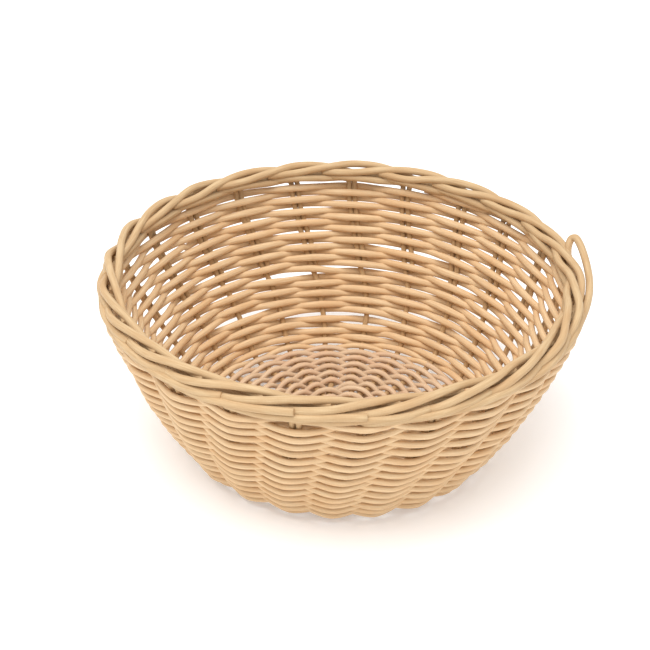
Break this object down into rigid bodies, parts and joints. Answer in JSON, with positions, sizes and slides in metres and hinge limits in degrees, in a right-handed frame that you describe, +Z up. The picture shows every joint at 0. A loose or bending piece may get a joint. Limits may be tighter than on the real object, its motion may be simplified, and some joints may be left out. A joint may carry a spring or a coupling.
{
  "type": "woven wicker basket",
  "caption": "Round flared wicker bowl basket, woven over and under on odd stakes, doubled towards a rolled border; rests on its woven base.",
  "frame": {"origin": "on the floor under the middle of the round base", "axes": "+Z up through the middle of the bowl; -Y is the side seen first"},
  "size_m": [0.21, 0.2095, 0.086],
  "materials": {
    "weaver_cord": "smooth peeled cane with a low sheen",
    "base_cord": "smooth peeled cane, slightly pinker",
    "stake_cord": "smooth peeled cane with a low sheen",
    "by_stake_cord": "smooth peeled cane with cut ends"
  },
  "bodies": {
    "root": {"base_weaver": "base_cord", "lower_wall_weaver": "weaver_cord", "upper_wall_weaver": "weaver_cord", "short_spoke": "stake_cord", "spoke_01": "stake_cord", "spoke_02": "stake_cord", "spoke_03": "stake_cord", "spoke_04": "stake_cord", "spoke_05": "stake_cord", "spoke_06": "stake_cord", "spoke_07": "stake_cord", "spoke_08": "stake_cord", "spoke_09": "stake_cord", "spoke_10": "stake_cord", "spoke_11": "stake_cord", "by_stake_01": "by_stake_cord", "by_stake_02": "by_stake_cord", "by_stake_03": "by_stake_cord", "by_stake_04": "by_stake_cord", "by_stake_05": "by_stake_cord", "by_stake_06": "by_stake_cord", "by_stake_07": "by_stake_cord", "by_stake_08": "by_stake_cord", "by_stake_09": "by_stake_cord", "by_stake_10": "by_stake_cord", "by_stake_11": "by_stake_cord", "by_stake_12": "by_stake_cord", "by_stake_13": "by_stake_cord", "by_stake_14": "by_stake_cord", "by_stake_15": "by_stake_cord", "by_stake_16": "by_stake_cord", "by_stake_17": "by_stake_cord", "by_stake_18": "by_stake_cord", "by_stake_19": "by_stake_cord", "by_stake_20": "by_stake_cord", "by_stake_21": "by_stake_cord", "by_stake_22": "by_stake_cord", "by_stake_23": "by_stake_cord"}
  },
  "joints": []
}
